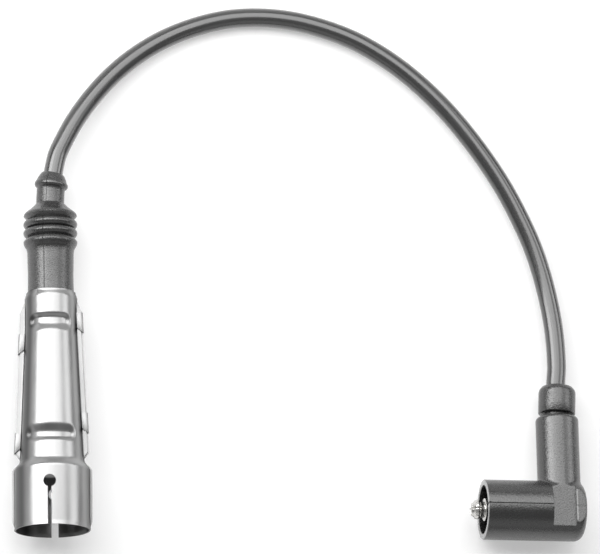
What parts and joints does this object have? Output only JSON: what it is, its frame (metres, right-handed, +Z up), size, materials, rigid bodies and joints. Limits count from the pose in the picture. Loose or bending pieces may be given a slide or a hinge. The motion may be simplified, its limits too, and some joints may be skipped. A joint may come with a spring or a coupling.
{
  "type": "spark plug wire",
  "caption": "Short ignition lead: a shielded spark plug connector with a rubber boot, a round black cable and a right-angle elbow connector with a split pin.",
  "frame": {"origin": "middle of the two connectors' common footprint, on the floor that the lead lies on", "axes": "+X from the spark plug connector towards the elbow connector; +Y along both connectors, from the spark plug connector's open cup towards the cable's bend; +Z up, out of the floor"},
  "size_m": [0.2085, 0.1971, 0.0276],
  "materials": {
    "shield_steel": "bright rolled sheet",
    "terminal_plating": "bright nickel plate",
    "spring_wire": "drawn wire",
    "contact_brass": "turned",
    "boot_rubber": "moulded, satin",
    "cable_jacket": "extruded, satin",
    "elbow_plastic": "moulded, satin",
    "insulator_plastic": "moulded, matt",
    "resistor_ceramic": "unglazed"
  },
  "bodies": {
    "root": {"plug_shield_front": "shield_steel", "plug_shield_back": "shield_steel", "plug_insulator": "insulator_plastic", "plug_seal": "boot_rubber", "plug_contact_clip": "contact_brass", "plug_clip_ring": "spring_wire", "plug_resistor": "resistor_ceramic", "plug_resistor_cap_lower": "contact_brass", "plug_resistor_cap_upper": "contact_brass", "plug_contact_spring": "spring_wire", "plug_cable_ferrule": "contact_brass", "plug_boot": "boot_rubber", "ignition_cable": "cable_jacket", "elbow_housing": "elbow_plastic", "elbow_terminal": "terminal_plating", "elbow_resistor": "resistor_ceramic", "elbow_resistor_cap_lower": "contact_brass", "elbow_resistor_cap_upper": "contact_brass", "elbow_contact_spring": "spring_wire", "elbow_cable_ferrule": "contact_brass", "elbow_grommet": "boot_rubber"}
  },
  "joints": []
}
